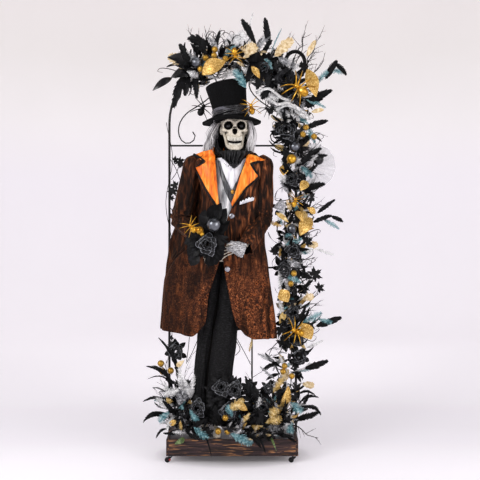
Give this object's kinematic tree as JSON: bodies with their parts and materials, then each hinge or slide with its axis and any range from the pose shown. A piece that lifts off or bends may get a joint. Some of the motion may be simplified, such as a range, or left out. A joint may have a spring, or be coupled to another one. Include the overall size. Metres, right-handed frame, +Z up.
{
  "type": "halloween skeleton figure",
  "caption": "Posable skeleton in a top hat and tailcoat, tied to an arch trellis on a rolling wooden planter with black and gold garland.",
  "frame": {"origin": "on the floor, under the middle of the whole display's outline", "axes": "+Z up along the tallest extent, -Y the front that the figure faces, +X the figure's left"},
  "size_m": [0.943, 0.468, 2.1302],
  "materials": {
    "stained_wood": "dark stained, open grain",
    "black_steel": "black-brown powder coat",
    "zinc_steel": "zinc plated",
    "caster_rubber": "matte",
    "bone": "ivory with a brown wash in the hollows",
    "hat_felt": "matte felt",
    "hair": "light grey fibre",
    "black_satin": "satin",
    "silver_cloth": "satin",
    "damask": "rust and black woven pattern, soft sheen",
    "black_cloth": "matte",
    "petals": "mixed black, silver, gold and teal petals, leaves and feathers"
  },
  "bodies": {
    "display": {"planter_front_board": "stained_wood", "planter_back_board": "stained_wood", "planter_left_end_board": "stained_wood", "planter_right_end_board": "stained_wood", "planter_bottom_board": "stained_wood", "planter_deck": "stained_wood", "caster_plate_front_right": "zinc_steel", "caster_plate_front_left": "zinc_steel", "caster_plate_back_right": "zinc_steel", "caster_plate_back_left": "zinc_steel", "trellis_post_left": "black_steel", "trellis_post_right": "black_steel", "trellis_rod_left": "black_steel", "trellis_rod_right": "black_steel", "trellis_scroll_left": "black_steel", "trellis_scroll_right": "black_steel", "trellis_strap_left": "zinc_steel", "trellis_strap_right": "zinc_steel", "trellis_crossbar_bottom": "black_steel", "trellis_crossbar_middle": "black_steel", "trellis_crossbar_top": "black_steel", "trellis_arch": "black_steel", "ribcage_and_spine": "bone", "pelvis": "bone", "thigh_bone_right": "bone", "thigh_bone_left": "bone", "shin_and_foot_bone_right": "bone", "shin_and_foot_bone_left": "bone", "cravat": "black_satin", "coat_body": "damask", "vest": "silver_cloth", "trousers": "black_cloth", "garland_side": "petals", "garland_top": "petals", "base_flowers_right": "petals", "base_flowers_left": "petals"},
    "head": {"skull": "bone", "top_hat": "hat_felt", "wig": "hair"},
    "jaw": {"jaw": "bone"},
    "upper_arm_right": {"upper_arm_bone_right": "bone", "coat_upper_sleeve_right": "damask"},
    "forearm_right": {"forearm_bone_right": "bone", "coat_forearm_sleeve_right": "damask", "hand_right": "bone", "bouquet": "petals"},
    "upper_arm_left": {"upper_arm_bone_left": "bone", "coat_upper_sleeve_left": "damask"},
    "forearm_left": {"forearm_bone_left": "bone", "coat_forearm_sleeve_left": "damask", "hand_left": "bone"},
    "caster_front_right": {"caster_fork_front_right": "zinc_steel"},
    "wheel_front_right": {"caster_wheel_front_right": "caster_rubber"},
    "caster_front_left": {"caster_fork_front_left": "zinc_steel"},
    "wheel_front_left": {"caster_wheel_front_left": "caster_rubber"},
    "caster_back_right": {"caster_fork_back_right": "zinc_steel"},
    "wheel_back_right": {"caster_wheel_back_right": "caster_rubber"},
    "caster_back_left": {"caster_fork_back_left": "zinc_steel"},
    "wheel_back_left": {"caster_wheel_back_left": "caster_rubber"}
  },
  "joints": [
    {"name": "head_turn", "type": "hinge", "parent": "display", "child": "head", "pos_m": [-0.054, 0.042, 1.5], "axis": [0, 0, 1], "range_deg": [-20, 20]},
    {"name": "jaw_open", "type": "hinge", "parent": "head", "child": "jaw", "pos_m": [-0.054, 0.034, 1.546], "axis": [1, 0, 0], "range_deg": [-3, 10]},
    {"name": "shoulder_raise_right", "type": "hinge", "parent": "display", "child": "upper_arm_right", "pos_m": [-0.247, 0.034, 1.396], "axis": [-1, 0, 0], "range_deg": [0, 25]},
    {"name": "elbow_bend_right", "type": "hinge", "parent": "upper_arm_right", "child": "forearm_right", "pos_m": [-0.305, 0.022, 1.122], "axis": [-0.6625, -0.729, 0.1722], "range_deg": [-8, 8]},
    {"name": "shoulder_raise_left", "type": "hinge", "parent": "display", "child": "upper_arm_left", "pos_m": [0.085, 0.034, 1.396], "axis": [-1, 0, 0], "range_deg": [0, 25]},
    {"name": "elbow_bend_left", "type": "hinge", "parent": "upper_arm_left", "child": "forearm_left", "pos_m": [0.082, 0.022, 1.126], "axis": [-0.8571, 0.5149, -0.0134], "range_deg": [-6, 10]},
    {"name": "swivel_front_right", "type": "hinge", "parent": "display", "child": "caster_front_right", "pos_m": [-0.349, -0.041, 0.03], "axis": [0, 0, 1], "continuous": true},
    {"name": "roll_front_right", "type": "hinge", "parent": "caster_front_right", "child": "wheel_front_right", "pos_m": [-0.363, -0.041, 0.0125], "axis": [0, 1, 0], "continuous": true},
    {"name": "swivel_front_left", "type": "hinge", "parent": "display", "child": "caster_front_left", "pos_m": [0.227, -0.041, 0.03], "axis": [0, 0, 1], "continuous": true},
    {"name": "roll_front_left", "type": "hinge", "parent": "caster_front_left", "child": "wheel_front_left", "pos_m": [0.213, -0.041, 0.0125], "axis": [0, 1, 0], "continuous": true},
    {"name": "swivel_back_right", "type": "hinge", "parent": "display", "child": "caster_back_right", "pos_m": [-0.349, 0.209, 0.03], "axis": [0, 0, 1], "continuous": true},
    {"name": "roll_back_right", "type": "hinge", "parent": "caster_back_right", "child": "wheel_back_right", "pos_m": [-0.363, 0.209, 0.0125], "axis": [0, 1, 0], "continuous": true},
    {"name": "swivel_back_left", "type": "hinge", "parent": "display", "child": "caster_back_left", "pos_m": [0.227, 0.209, 0.03], "axis": [0, 0, 1], "continuous": true},
    {"name": "roll_back_left", "type": "hinge", "parent": "caster_back_left", "child": "wheel_back_left", "pos_m": [0.213, 0.209, 0.0125], "axis": [0, 1, 0], "continuous": true}
  ]
}
